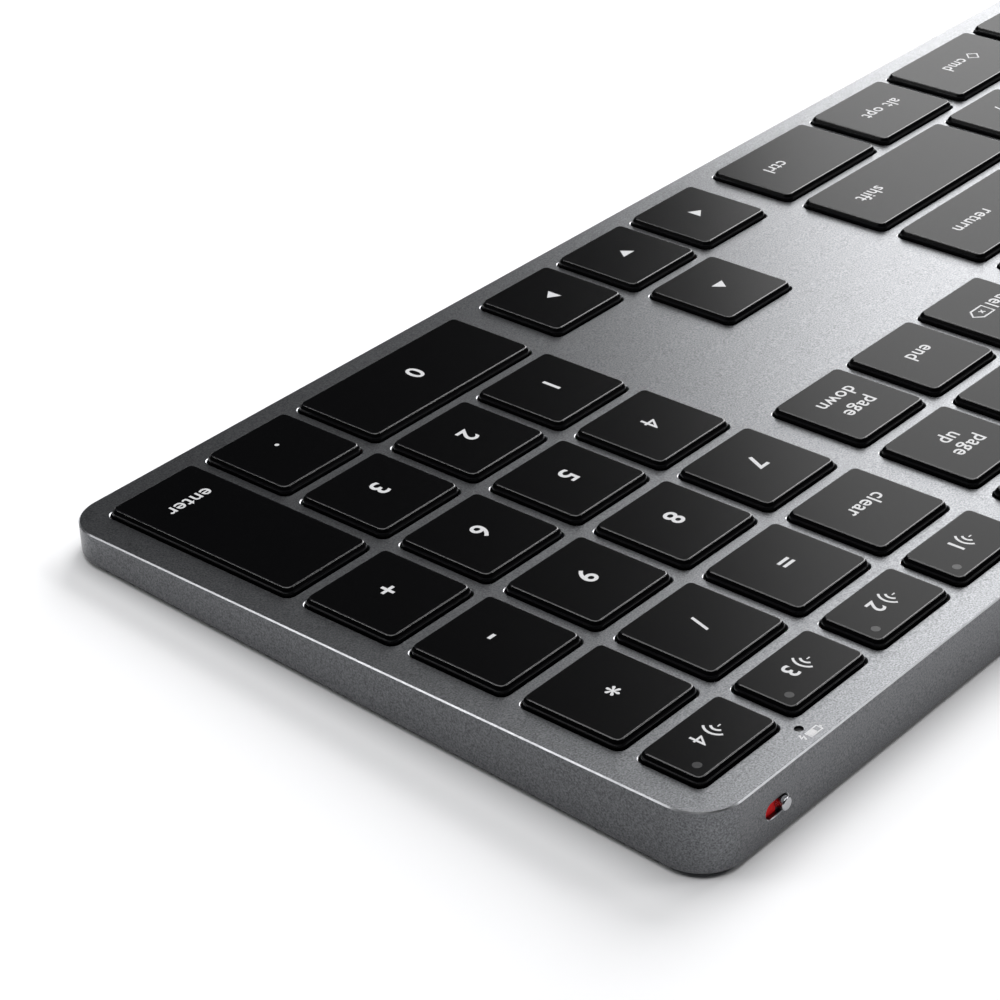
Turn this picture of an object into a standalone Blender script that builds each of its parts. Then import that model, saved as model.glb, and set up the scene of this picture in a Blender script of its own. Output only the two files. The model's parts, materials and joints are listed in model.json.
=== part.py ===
"""Full-size wireless keyboard whose right-hand block is a numeric keypad.

A thin aluminium case slopes down to the front, and every key stands in its own rounded window over a rubber
dome. The keypad's keys and those beside it are single pieces. The rest of each row is one piece, its caps
joined by a strip under the deck. Metres, +Z up, +X to the typist's right, +Y away from the typist. The origin
is the middle of the footprint, on the desk.
"""

import math

import bmesh
import bpy
from mathutils import Matrix

MM = 0.001

# Key grid
PITCH = 19.05 * MM  # from one key's middle to the next
FUNCTION_ROW = 12.65 * MM  # depth of the short row at the back
BLOCK_GAP = 3.55 * MM  # extra space between the main, editing and numeric blocks
MAIN_UNITS = 14.5  # width of the main block, in pitches
EDIT_UNITS = 3
PAD_UNITS = 4

# Key caps
SKIRT_GAP = 2.65 * MM  # between the skirts of two neighbouring caps
WINDOW_GAP = 2.05 * MM  # metal left between two windows
CAP_TOP = 1.15 * MM  # height of a cap's top above the deck
CAP_SKIRT = -1.45 * MM  # where the skirt ends, below the deck
CAP_SHOULDER = 0.55 * MM  # height at which the sides start to lean in
CAP_LEAN = 0.45 * MM
CAP_WALL = 0.9 * MM
CAP_CEILING = 0.15 * MM
CAP_CORNER = 1.3 * MM
STRIP_TOP = -1.15 * MM  # the strip that joins a row's caps, just below the deck
STRIP_THICKNESS = 0.25 * MM
STRIP_WIDTH = 0.6 * MM

# Case
SIDE_MARGIN = 4.95 * MM  # from a side edge to the nearest window
FRONT_MARGIN = 4.3 * MM
BACK_MARGIN = 4.9 * MM
SLOPE = math.radians(2.42)
FRONT_HEIGHT = 4.5 * MM  # of the case's front wall
CASE_CORNER = 6.5 * MM
CASE_WALL = 1.6 * MM
LEDGE_REACH = 1.4 * MM  # the ledge that the cover is glued to, inside the walls
LEDGE_THICKNESS = 0.8 * MM
DECK_THICKNESS = 1.0 * MM
FOOT_HEIGHT = 0.8 * MM
COVER_THICKNESS = 1.0 * MM
FIT_GAP = 0.3 * MM
SHEET_GAP = 0.1 * MM

# Sheets under the keys, in the order they lie, from this far below the deck's face
SHEETS_TOP = -2.6 * MM
DOME_SHEET_THICKNESS = 0.2 * MM
MEMBRANE_THICKNESS = 0.2 * MM
PLATE_THICKNESS = 0.3 * MM

# Power switch and charging socket, in the back wall
SWITCH_FROM_EDGE = 13.8 * MM  # from the right-hand edge to the slot's middle
SWITCH_DEPTH = 5.2 * MM  # from the deck down to the slot's middle
SLOT_WIDTH = 4.7 * MM
SLOT_HEIGHT = 2.4 * MM
KNOB_RADIUS = 0.95 * MM
KNOB_PROUD = 0.7 * MM
SWITCH_TRAVEL = 2.4 * MM
THIN_WALL = 0.6 * MM  # what the pocket behind the slot leaves of the back wall
SOCKET_DEPTH = 5.25 * MM
SOCKET_WIDTH = 8.9 * MM
SOCKET_HEIGHT = 3.2 * MM
SOCKET_LENGTH = 7.3 * MM

# Charging light in the deck, behind the keypad
LIGHT_FROM_EDGE = 22.8 * MM
LIGHT_FROM_BACK = 3.4 * MM
LIGHT_RADIUS = 0.65 * MM

GRID_WIDTH = (MAIN_UNITS + EDIT_UNITS + PAD_UNITS) * PITCH + 2 * BLOCK_GAP
GRID_DEPTH = 5 * PITCH + FUNCTION_ROW
CASE_WIDTH = GRID_WIDTH - WINDOW_GAP + 2 * SIDE_MARGIN
CASE_DEPTH = GRID_DEPTH - WINDOW_GAP + FRONT_MARGIN + BACK_MARGIN
GRID_LEFT = -GRID_WIDTH / 2
GRID_FRONT = FRONT_MARGIN - WINDOW_GAP / 2
EDIT_LEFT = GRID_LEFT + MAIN_UNITS * PITCH + BLOCK_GAP
PAD_LEFT = EDIT_LEFT + EDIT_UNITS * PITCH + BLOCK_GAP

# The deck's own frame has its origin on the deck's front edge. These place it above the desk.
DECK_RISE = FOOT_HEIGHT + FRONT_HEIGHT * math.cos(SLOPE)
FOOTPRINT_DEPTH = (CASE_DEPTH + KNOB_PROUD) * math.cos(SLOPE) + (SWITCH_DEPTH + KNOB_RADIUS) * math.sin(SLOPE)
DECK_FRONT = -FOOTPRINT_DEPTH / 2


def alike(names, units=1.0):
    """Keys of one width from a string of names."""
    return [(name, units) for name in names.split()]


# The main block, front row first: each key's name and its width in pitches
MAIN_ROWS = [
    [("control_left", 1.5), ("option_left", 1.25), ("command_left", 1.5), ("space", 6.0)]
    + [("command_right", 1.5), ("option_right", 1.25), ("control_right", 1.5)],
    [("shift_left", 2.25)] + alike("z x c v b n m comma period slash") + [("shift_right", 2.25)],
    [("caps_lock", 1.75)] + alike("a s d f g h j k l semicolon quote") + [("return", 1.75)],
    [("tab", 1.5)] + alike("q w e r t y u i o p bracket_left bracket_right backslash"),
    alike("grave 1 2 3 4 5 6 7 8 9 0 minus equals") + [("delete", 1.5)],
    alike("escape f1 f2 f3 f4 f5 f6 f7 f8 f9 f10 f11 f12 eject", MAIN_UNITS / 14),
]
# The editing block: (name, column) in each row
EDIT_ROWS = [
    [("arrow_left", 0), ("arrow_down", 1), ("arrow_right", 2)],
    [("arrow_up", 1)],
    [],
    [("forward_delete", 0), ("end", 1), ("page_down", 2)],
    [("function", 0), ("home", 1), ("page_up", 2)],
    [("f13", 0), ("f14", 1), ("f15", 2)],
]
# The numeric keypad: (name, column, columns wide, rows deep)
PAD_ROWS = [
    [("numpad_0", 0, 2, 1), ("numpad_point", 2, 1, 1), ("numpad_enter", 3, 1, 2)],
    [("numpad_1", 0, 1, 1), ("numpad_2", 1, 1, 1), ("numpad_3", 2, 1, 1)],
    [("numpad_4", 0, 1, 1), ("numpad_5", 1, 1, 1), ("numpad_6", 2, 1, 1), ("numpad_plus", 3, 1, 1)],
    [("numpad_7", 0, 1, 1), ("numpad_8", 1, 1, 1), ("numpad_9", 2, 1, 1), ("numpad_minus", 3, 1, 1)],
    [("numpad_clear", 0, 1, 1), ("numpad_equals", 1, 1, 1), ("numpad_divide", 2, 1, 1)]
    + [("numpad_multiply", 3, 1, 1)],
    [("channel_1", 0, 1, 1), ("channel_2", 1, 1, 1), ("channel_3", 2, 1, 1), ("channel_4", 3, 1, 1)],
]
ROW_NODES = ["bottom_row_keys", "shift_row_keys", "caps_row_keys", "tab_row_keys", "number_row_keys"]
ROW_NODES += ["function_row_keys"]
# Keys outside the keypad that have a node of their own
OWN_NODE = {"space", "command_right", "option_right", "control_right", "shift_right", "return", "function"}
OWN_NODE |= {"arrow_left", "arrow_down", "arrow_right", "arrow_up"}
OWN_NODE |= {"forward_delete", "end", "page_down", "home", "page_up"}


class Key:
    """One key: its name, its node and its cell on the deck."""

    def __init__(self, name, row, left, units, rows=1):
        front = GRID_FRONT + row * PITCH
        depth = FUNCTION_ROW if row == 5 else rows * PITCH
        self.name = name
        self.width = units * PITCH
        self.depth = depth
        self.x = left + self.width / 2
        self.y = front + depth / 2
        own = name in OWN_NODE or name.startswith(("numpad_", "channel_"))
        self.node = name + "_key" if own else ROW_NODES[row]


def all_keys():
    keys = []
    for row, names in enumerate(MAIN_ROWS):
        left = GRID_LEFT
        for name, units in names:
            keys.append(Key(name, row, left, units))
            left += units * PITCH
    for row, names in enumerate(EDIT_ROWS):
        keys += [Key(name, row, EDIT_LEFT + column * PITCH, 1) for name, column in names]
    for row, names in enumerate(PAD_ROWS):
        for name, column, units, rows in names:
            keys.append(Key(name, row, PAD_LEFT + column * PITCH, units, rows))
    return keys


# ---- Mesh helpers ----


def rounded_outline(width, depth, radius, steps, centre=(0.0, 0.0)):
    """Points of a rectangle with round corners, anticlockwise, with that many steps in each corner."""
    points = []
    for quarter in range(4):
        sx = 1 if quarter in (0, 3) else -1
        sy = 1 if quarter in (0, 1) else -1
        cx = centre[0] + sx * (width / 2 - radius)
        cy = centre[1] + sy * (depth / 2 - radius)
        for step in range(steps + 1):
            angle = math.pi / 2 * (quarter + step / steps)
            points.append((cx + radius * math.cos(angle), cy + radius * math.sin(angle)))
    return points


def circle_outline(radius, sides, centre=(0.0, 0.0)):
    turns = [2 * math.pi * (side + 0.5) / sides for side in range(sides)]
    return [(centre[0] + radius * math.cos(t), centre[1] + radius * math.sin(t)) for t in turns]


def ring(bm, outline, height):
    """Vertices of an outline at a height, which is a number or a function of y."""
    level = height if callable(height) else lambda y: height
    return [bm.verts.new((x, y, level(y))) for x, y in outline]


def join_rings(bm, lower, upper):
    for i in range(len(lower)):
        j = (i + 1) % len(lower)
        bm.faces.new((lower[i], lower[j], upper[j], upper[i]))


def fill_between(bm, outer, holes):
    """A flat face bounded by one ring, with the other rings left open."""
    edges = []
    for loop in [outer, *holes]:
        for i in range(len(loop)):
            pair = (loop[i], loop[(i + 1) % len(loop)])
            edges.append(bm.edges.get(pair) or bm.edges.new(pair))
    bmesh.ops.triangle_fill(bm, use_beauty=True, edges=edges)


def add_prism(bm, outline, low, high, top_outline=None):
    """A closed solid between two outlines of equal length."""
    lower = ring(bm, outline, low)
    upper = ring(bm, top_outline or outline, high)
    join_rings(bm, lower, upper)
    bm.faces.new(upper)
    bm.faces.new(lower[::-1])
    return lower + upper


def add_box(bm, low, high):
    (x0, y0, z0), (x1, y1, z1) = low, high
    return add_prism(bm, [(x0, y0), (x1, y0), (x1, y1), (x0, y1)], z0, z1)


def material(name, colour, roughness, metallic=0.0):
    made = bpy.data.materials.new(name)
    made.use_nodes = True
    shader = made.node_tree.nodes["Principled BSDF"]
    shader.inputs["Base Color"].default_value = (*colour, 1.0)
    shader.inputs["Roughness"].default_value = roughness
    shader.inputs["Metallic"].default_value = metallic
    made.diffuse_color = (*colour, 1.0)
    return made


def finish(bm, name, surface, parent=None, location=(0.0, 0.0, 0.0)):
    """Turns a bmesh into a named object with its faces pointing out."""
    bmesh.ops.recalc_face_normals(bm, faces=bm.faces)
    mesh = bpy.data.meshes.new(name)
    bm.to_mesh(mesh)
    bm.free()
    made = bpy.data.objects.new(name, mesh)
    made.data.materials.append(surface)
    made.location = location
    made.parent = parent
    bpy.context.scene.collection.objects.link(made)
    return made


def boolean(target, other, operation):
    """Joins or cuts target with a helper object, which isn't shown."""
    other.hide_render = True
    other.display_type = "WIRE"
    modifier = target.modifiers.new(other.name, "BOOLEAN")
    modifier.object = other
    modifier.operation = operation
    modifier.solver = "EXACT"


# ---- Keys ----


def add_cap(bm, key, x, y):
    """A hollow cap: upright skirt, sides that lean in above the deck, flat top."""
    width = key.width - SKIRT_GAP
    depth = key.depth - SKIRT_GAP
    skirt = rounded_outline(width, depth, CAP_CORNER, 1, (x, y))
    top = rounded_outline(width - 2 * CAP_LEAN, depth - 2 * CAP_LEAN, CAP_CORNER - CAP_LEAN, 1, (x, y))
    room = circle_outline(1.0, 4)
    half = (width / 2 - CAP_WALL, depth / 2 - CAP_WALL)
    corner = math.sqrt(0.5)
    hollow = [(x + px / corner * half[0], y + py / corner * half[1]) for px, py in room]
    bottom = ring(bm, skirt, CAP_SKIRT)
    shoulder = ring(bm, skirt, CAP_SHOULDER)
    face = ring(bm, top, CAP_TOP)
    mouth = ring(bm, hollow, CAP_SKIRT)
    ceiling = ring(bm, hollow, CAP_CEILING)
    join_rings(bm, bottom, shoulder)
    join_rings(bm, shoulder, face)
    bm.faces.new(face)
    fill_between(bm, bottom, [mouth])
    join_rings(bm, ceiling, mouth)
    bm.faces.new(ceiling)


def make_strip(name, members, deck, surface):
    """The strip that joins a row's caps: it runs through the back wall of each skirt."""
    bm = bmesh.new()
    left, right = members[0], members[-1]
    back = left.y + (left.depth - SKIRT_GAP - CAP_WALL + STRIP_WIDTH) / 2
    add_box(bm, (left.x, back - STRIP_WIDTH, STRIP_TOP - STRIP_THICKNESS), (right.x, back, STRIP_TOP))
    return finish(bm, name, surface, deck)


def make_caps(keys, deck, surface):
    """A node for each key that has its own, and one node for the rest of each row."""
    nodes = {}
    for key in keys:
        nodes.setdefault(key.node, []).append(key)
    for node, members in nodes.items():
        bm = bmesh.new()
        origin = members[0]
        for key in members:
            add_cap(bm, key, key.x - origin.x, key.y - origin.y)
        caps = finish(bm, node, surface, deck, (origin.x, origin.y, 0.0))
        if len(members) > 1:
            boolean(caps, make_strip(node + "_strip", members, deck, surface), "UNION")


# ---- Case and sheets ----


def rim_height(y):
    """Height of the case's lower rim in the deck's frame: the rim lies level with the desk."""
    return (FOOT_HEIGHT - DECK_RISE - y * math.sin(SLOPE)) / math.cos(SLOPE)


def deck_outline(inset, steps):
    width = CASE_WIDTH - 2 * inset
    depth = CASE_DEPTH - 2 * inset
    return rounded_outline(width, depth, CASE_CORNER - inset, steps, (0.0, CASE_DEPTH / 2))


CORNER_STEPS = 6
WINDOW_CORNER = 1.6 * MM
ADHESIVE_THICKNESS = 0.2 * MM
DOME_FOOT = 2.6 * MM
DOME_HEAD = 1.5 * MM
DOME_TOP = -1.2 * MM
DOME_SIDES = 6
FOOT_LENGTH = 22.0 * MM
FOOT_DEPTH = 7.0 * MM
FOOT_X = 185.0 * MM
FOOT_Y = 46.0 * MM


def make_case(keys, deck, surface):
    """The aluminium shell: a deck with a window for each key, a wall all round and the cover's ledge inside it."""
    bm = bmesh.new()
    outside = deck_outline(0.0, CORNER_STEPS)
    inside = deck_outline(CASE_WALL, CORNER_STEPS)
    ledge = deck_outline(CASE_WALL + LEDGE_REACH, CORNER_STEPS)
    levels = [
        ring(bm, outside, 0.0),
        ring(bm, outside, rim_height),
        ring(bm, inside, rim_height),
        ring(bm, inside, ledge_bottom),
        ring(bm, ledge, ledge_bottom),
        ring(bm, ledge, ledge_top),
        ring(bm, inside, ledge_top),
        ring(bm, inside, -DECK_THICKNESS),
    ]
    for first, second in zip(levels, levels[1:]):
        join_rings(bm, first, second)
    light = (CASE_WIDTH / 2 - LIGHT_FROM_EDGE, CASE_DEPTH - LIGHT_FROM_BACK)
    openings = [circle_outline(LIGHT_RADIUS, 8, light)]
    for key in keys:
        size = (key.width - WINDOW_GAP, key.depth - WINDOW_GAP)
        openings.append(rounded_outline(*size, WINDOW_CORNER, 1, (key.x, key.y)))
    upper = [ring(bm, opening, 0.0) for opening in openings]
    lower = [ring(bm, opening, -DECK_THICKNESS) for opening in openings]
    for top, bottom in zip(upper, lower):
        join_rings(bm, top, bottom)
    fill_between(bm, levels[0], upper)
    fill_between(bm, levels[-1], lower)
    return finish(bm, "top_case", surface, deck)


def ledge_bottom(y):
    return rim_height(y) + COVER_THICKNESS + FIT_GAP + ADHESIVE_THICKNESS


def ledge_top(y):
    return ledge_bottom(y) + LEDGE_THICKNESS


def make_slot_cutter(name, x, drop, width, height, deck, surface):
    """A round-ended bar that runs through the back wall, along the deck's y."""
    bm = bmesh.new()
    outline = rounded_outline(width, height, height / 2 - 0.01 * MM, 4)
    verts = add_prism(bm, outline, -2 * CASE_WALL, 2 * CASE_WALL)
    turn = Matrix.Rotation(math.pi / 2, 4, "X")
    place = Matrix.Translation((x, CASE_DEPTH - CASE_WALL / 2, -drop))
    bmesh.ops.transform(bm, matrix=place @ turn, verts=verts)
    return finish(bm, name, surface, deck)


def make_pocket_cutter(deck, surface):
    """A block that thins the back wall from inside, where the switch's slider runs."""
    bm = bmesh.new()
    width = SLIDER_PLATE[0] + SWITCH_TRAVEL + 2 * FIT_GAP
    half = SLIDER_PLATE[2] / 2 + FIT_GAP
    middle = CASE_WIDTH / 2 - SWITCH_FROM_EDGE
    front, back = CASE_DEPTH - 2 * CASE_WALL, CASE_DEPTH - THIN_WALL
    low, high = -SWITCH_DEPTH - half, -SWITCH_DEPTH + half
    add_box(bm, (middle - width / 2, front, low), (middle + width / 2, back, high))
    return finish(bm, "switch_pocket", surface, deck)


def grid_outline():
    """The sheets' outline: the whole key grid."""
    width = CASE_WIDTH - 2 * SIDE_MARGIN
    depth = GRID_DEPTH - WINDOW_GAP
    return rounded_outline(width, depth, 2 * MM, 2, (0.0, FRONT_MARGIN + depth / 2))


def make_sheet(name, top, thickness, deck, surface):
    bm = bmesh.new()
    add_prism(bm, grid_outline(), top - thickness, top)
    finish(bm, name, surface, deck)


def make_dome_sheet(keys, deck, surface):
    """The silicone sheet that carries one dome under the middle of each cap."""
    bm = bmesh.new()
    bottom = ring(bm, grid_outline(), SHEETS_TOP - DOME_SHEET_THICKNESS)
    top = ring(bm, grid_outline(), SHEETS_TOP)
    join_rings(bm, bottom, top)
    bm.faces.new(bottom[::-1])
    feet = []
    for key in keys:
        foot = ring(bm, circle_outline(DOME_FOOT, DOME_SIDES, (key.x, key.y)), SHEETS_TOP)
        head = ring(bm, circle_outline(DOME_HEAD, DOME_SIDES, (key.x, key.y)), DOME_TOP)
        join_rings(bm, foot, head)
        bm.faces.new(head)
        feet.append(foot)
    fill_between(bm, top, feet)
    finish(bm, "dome_sheet", surface, deck)


def cover_outline(inset):
    """The cover's outline in the desk's frame, inside the case's walls."""
    gap = CASE_WALL + FIT_GAP
    front = to_desk(gap, rim_height(0.0)) + inset
    back = to_desk(CASE_DEPTH - gap, rim_height(CASE_DEPTH) + COVER_THICKNESS) - inset
    width = CASE_WIDTH - 2 * (gap + inset)
    radius = CASE_CORNER - gap - inset
    return rounded_outline(width, back - front, radius, CORNER_STEPS, (0.0, (front + back) / 2))


def make_cover(surface):
    """The bottom plate. It sits inside the case's wall, level with the rim."""
    bm = bmesh.new()
    add_prism(bm, cover_outline(0.0), FOOT_HEIGHT, FOOT_HEIGHT + COVER_THICKNESS)
    finish(bm, "bottom_cover", surface)


def make_adhesive(surface):
    """The ring of adhesive tape between the cover and the ledge."""
    bm = bmesh.new()
    low = FOOT_HEIGHT + COVER_THICKNESS + SHEET_GAP
    high = low + ADHESIVE_THICKNESS
    outer = cover_outline(0.0)
    inner = cover_outline(LEDGE_REACH - FIT_GAP)
    rings = [ring(bm, outer, low), ring(bm, outer, high), ring(bm, inner, high), ring(bm, inner, low)]
    for first, second in zip(rings, rings[1:] + rings[:1]):
        join_rings(bm, first, second)
    finish(bm, "cover_adhesive", surface)


def to_desk(y, height):
    """The desk's y of a point in the deck's frame."""
    return DECK_FRONT + y * math.cos(SLOPE) - height * math.sin(SLOPE)


def make_feet(surface):
    """Four flat rubber feet."""
    for x, side in ((-FOOT_X, "left"), (FOOT_X, "right")):
        for y, end in ((-FOOT_Y, "front"), (FOOT_Y, "back")):
            bm = bmesh.new()
            outline = rounded_outline(FOOT_LENGTH, FOOT_DEPTH, FOOT_DEPTH / 2 - SHEET_GAP, 4)
            add_prism(bm, outline, 0.0, FOOT_HEIGHT - SHEET_GAP)
            finish(bm, f"{end}_{side}_foot", surface, None, (x, y, 0.0))


# ---- Electrical parts ----

BOARD_TOP = -SOCKET_DEPTH - SOCKET_HEIGHT / 2 - SHEET_GAP
BOARD_THICKNESS = 0.7 * MM
BOARD_DEPTH = 9.8 * MM
BOARD_LEFT = -16.0 * MM
BOARD_PAST_SWITCH = 7.0 * MM
BATTERY_SIZE = (92.0 * MM, 24.0 * MM, 2.5 * MM)
BATTERY_X = -60.0 * MM
BATTERY_BACK = 14.0 * MM  # from the back edge to the battery
BATTERY_TOP = -3.8 * MM
SLIDER_PLATE = (8.8 * MM, 0.8 * MM, 3.0 * MM)
SWITCH_BODY = (13.0 * MM, 5.0 * MM, 2.6 * MM)


def make_board(deck, surface):
    """The long narrow circuit board, along the back wall."""
    bm = bmesh.new()
    right = CASE_WIDTH / 2 - SWITCH_FROM_EDGE + BOARD_PAST_SWITCH
    back = CASE_DEPTH - CASE_WALL - LEDGE_REACH - FIT_GAP
    add_box(bm, (BOARD_LEFT, back - BOARD_DEPTH, BOARD_TOP - BOARD_THICKNESS), (right, back, BOARD_TOP))
    finish(bm, "main_board", surface, deck)


def make_battery(deck, surface):
    bm = bmesh.new()
    width, depth, height = BATTERY_SIZE
    middle = (BATTERY_X, CASE_DEPTH - BATTERY_BACK - depth / 2)
    add_prism(bm, rounded_outline(width, depth, 1.5 * MM, 3, middle), BATTERY_TOP - height, BATTERY_TOP)
    finish(bm, "battery", surface, deck)


def make_socket(deck, surface):
    """The charging socket: a flat metal sleeve, open to the back, with the contact tongue joined inside."""
    bm = bmesh.new()
    outer = rounded_outline(SOCKET_WIDTH, SOCKET_HEIGHT, SOCKET_HEIGHT / 2 - 0.05 * MM, 4)
    bore = rounded_outline(SOCKET_WIDTH - 0.7 * MM, SOCKET_HEIGHT - 0.7 * MM, SOCKET_HEIGHT / 2 - 0.4 * MM, 4)
    tongue = rounded_outline(6.6 * MM, 0.7 * MM, 0.1 * MM, 4)
    floor = 1.0 * MM
    levels = [ring(bm, outer, 0.0), ring(bm, outer, SOCKET_LENGTH), ring(bm, bore, SOCKET_LENGTH)]
    levels += [ring(bm, bore, floor)]
    for first, second in zip(levels, levels[1:]):
        join_rings(bm, first, second)
    bm.faces.new(levels[0])
    root = ring(bm, tongue, floor)
    tip = ring(bm, tongue, SOCKET_LENGTH - 1.2 * MM)
    join_rings(bm, root, tip)
    bm.faces.new(tip)
    fill_between(bm, levels[3], [root])
    turn = Matrix.Rotation(-math.pi / 2, 4, "X")
    place = Matrix.Translation((0.0, CASE_DEPTH - 0.3 * MM - SOCKET_LENGTH, -SOCKET_DEPTH))
    bmesh.ops.transform(bm, matrix=place @ turn, verts=bm.verts)
    finish(bm, "usb_c_socket", surface, deck)


def make_slider(deck, surface):
    """The switch's slider: a plate behind the slot, with a round knob that stands out through it."""
    bm = bmesh.new()
    width, thickness, height = SLIDER_PLATE
    plate_back = -THIN_WALL - SHEET_GAP
    plate = rounded_outline(width, height, 0.5 * MM, 3)
    knob = circle_outline(KNOB_RADIUS, 16)
    front, back = ring(bm, plate, plate_back - thickness), ring(bm, plate, plate_back)
    root, tip = ring(bm, knob, plate_back), ring(bm, knob, KNOB_PROUD)
    join_rings(bm, front, back)
    join_rings(bm, root, tip)
    bm.faces.new(front)
    bm.faces.new(tip)
    fill_between(bm, back, [root])
    bmesh.ops.transform(bm, matrix=Matrix.Rotation(-math.pi / 2, 4, "X"), verts=bm.verts)
    x = CASE_WIDTH / 2 - SWITCH_FROM_EDGE - SWITCH_TRAVEL / 2
    finish(bm, "power_switch_slider", surface, deck, (x, CASE_DEPTH, -SWITCH_DEPTH))


def make_switch_body(deck, surface):
    """The switch itself, on the board behind the slider."""
    bm = bmesh.new()
    width, depth, height = SWITCH_BODY
    middle = CASE_WIDTH / 2 - SWITCH_FROM_EDGE
    back = CASE_DEPTH - THIN_WALL - SHEET_GAP - SLIDER_PLATE[1] - FIT_GAP
    low = BOARD_TOP + SHEET_GAP
    add_box(bm, (middle - width / 2, back - depth, low), (middle + width / 2, back, low + height))
    finish(bm, "power_switch_body", surface, deck)


def make_light(deck, surface):
    """The clear rod that carries the charging light up to the deck."""
    bm = bmesh.new()
    centre = (CASE_WIDTH / 2 - LIGHT_FROM_EDGE, CASE_DEPTH - LIGHT_FROM_BACK)
    outline = circle_outline(LIGHT_RADIUS - SHEET_GAP, 8, centre)
    add_prism(bm, outline, BOARD_TOP + SHEET_GAP, -SHEET_GAP)
    finish(bm, "charge_light", surface, deck)


def main():
    for old in list(bpy.data.objects):
        bpy.data.objects.remove(old)
    aluminium = material("space_grey_aluminium", (0.16, 0.17, 0.18), 0.42, 0.9)
    black = material("black_keycap_plastic", (0.012, 0.012, 0.014), 0.38)
    dark = material("dark_plastic", (0.03, 0.03, 0.033), 0.6)
    rubber = material("grey_rubber", (0.06, 0.06, 0.06), 0.85)
    silicone = material("dome_silicone", (0.75, 0.75, 0.72), 0.6)
    film = material("membrane_film", (0.7, 0.72, 0.7), 0.35)
    steel = material("steel", (0.55, 0.56, 0.57), 0.35, 1.0)
    board_green = material("circuit_board", (0.02, 0.12, 0.06), 0.5)
    foil = material("battery_foil", (0.5, 0.5, 0.52), 0.4, 0.6)
    clear = material("clear_plastic", (0.3, 0.3, 0.3), 0.2)

    deck = bpy.data.objects.new("deck_frame", None)
    deck.location = (0.0, DECK_FRONT, DECK_RISE)
    deck.rotation_euler = (SLOPE, 0.0, 0.0)
    bpy.context.scene.collection.objects.link(deck)

    keys = all_keys()
    make_caps(keys, deck, black)
    case = make_case(keys, deck, aluminium)
    middle = CASE_WIDTH / 2 - SWITCH_FROM_EDGE
    slot = make_slot_cutter("switch_slot", middle, SWITCH_DEPTH, SLOT_WIDTH, SLOT_HEIGHT, deck, dark)
    mouth_size = (SOCKET_WIDTH + 2 * FIT_GAP, SOCKET_HEIGHT + 2 * FIT_GAP)
    mouth = make_slot_cutter("socket_mouth", 0.0, SOCKET_DEPTH, *mouth_size, deck, dark)
    boolean(case, slot, "DIFFERENCE")
    boolean(case, make_pocket_cutter(deck, dark), "DIFFERENCE")
    boolean(case, mouth, "DIFFERENCE")
    make_cover(dark)
    make_adhesive(film)
    make_feet(rubber)

    make_dome_sheet(keys, deck, silicone)
    membrane_top = SHEETS_TOP - DOME_SHEET_THICKNESS - SHEET_GAP
    plate_top = membrane_top - MEMBRANE_THICKNESS - SHEET_GAP
    make_sheet("switch_membrane", membrane_top, MEMBRANE_THICKNESS, deck, film)
    make_sheet("support_plate", plate_top, PLATE_THICKNESS, deck, steel)

    make_board(deck, board_green)
    make_battery(deck, foil)
    make_socket(deck, steel)
    make_slider(deck, steel)
    make_switch_body(deck, dark)
    make_light(deck, clear)


main()
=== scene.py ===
"""A full-size wireless keyboard with a numeric keypad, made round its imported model. Metres, +Z up."""
import json
import math

import bpy
from mathutils import Matrix, Vector


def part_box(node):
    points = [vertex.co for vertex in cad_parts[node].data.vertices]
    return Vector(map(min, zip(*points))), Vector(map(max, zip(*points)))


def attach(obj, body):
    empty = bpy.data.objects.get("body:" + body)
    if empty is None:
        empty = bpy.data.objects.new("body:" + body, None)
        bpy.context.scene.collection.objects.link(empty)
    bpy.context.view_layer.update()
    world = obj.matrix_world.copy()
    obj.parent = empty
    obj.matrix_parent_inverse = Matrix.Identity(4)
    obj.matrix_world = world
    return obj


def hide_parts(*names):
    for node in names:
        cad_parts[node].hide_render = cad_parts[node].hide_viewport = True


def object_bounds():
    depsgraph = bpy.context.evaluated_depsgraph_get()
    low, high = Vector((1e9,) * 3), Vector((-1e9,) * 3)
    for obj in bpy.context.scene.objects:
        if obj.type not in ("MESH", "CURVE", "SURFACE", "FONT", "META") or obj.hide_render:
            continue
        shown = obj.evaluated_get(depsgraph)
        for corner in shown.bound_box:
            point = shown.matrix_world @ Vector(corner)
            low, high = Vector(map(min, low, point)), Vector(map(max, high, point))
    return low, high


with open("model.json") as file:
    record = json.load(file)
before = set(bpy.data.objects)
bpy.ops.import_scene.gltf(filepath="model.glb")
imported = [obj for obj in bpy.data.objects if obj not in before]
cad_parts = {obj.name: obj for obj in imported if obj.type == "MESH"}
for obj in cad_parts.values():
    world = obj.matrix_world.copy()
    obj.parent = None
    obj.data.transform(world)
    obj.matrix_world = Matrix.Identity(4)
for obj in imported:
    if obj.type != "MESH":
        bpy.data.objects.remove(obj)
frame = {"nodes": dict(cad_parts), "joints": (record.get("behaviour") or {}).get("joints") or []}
cad_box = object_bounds()
MM = 0.001


# ---- Floor, lights and camera ----
# A white table under one very large soft light that stands past the typing end of the keyboard, with a second
# soft light straight above and two narrow strips that catch its edges. The camera looks down from behind the
# keypad's back corner.

TABLE_SIZE = 12.0
LIGHT_AIM = Vector((0.1, 0, 0))  # just beside the keypad
CAMERA_PLACE = (0.43977, 0.22072, 0.23402)
CAMERA_TURN = (57.526, 0.17, 130.708)  # in degrees
CAMERA_LENS = 107.56  # in mm, as is the sensor's width
SENSOR_WIDTH = 36.0


def shader_of(material):
    return material.node_tree.nodes["Principled BSDF"]


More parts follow.
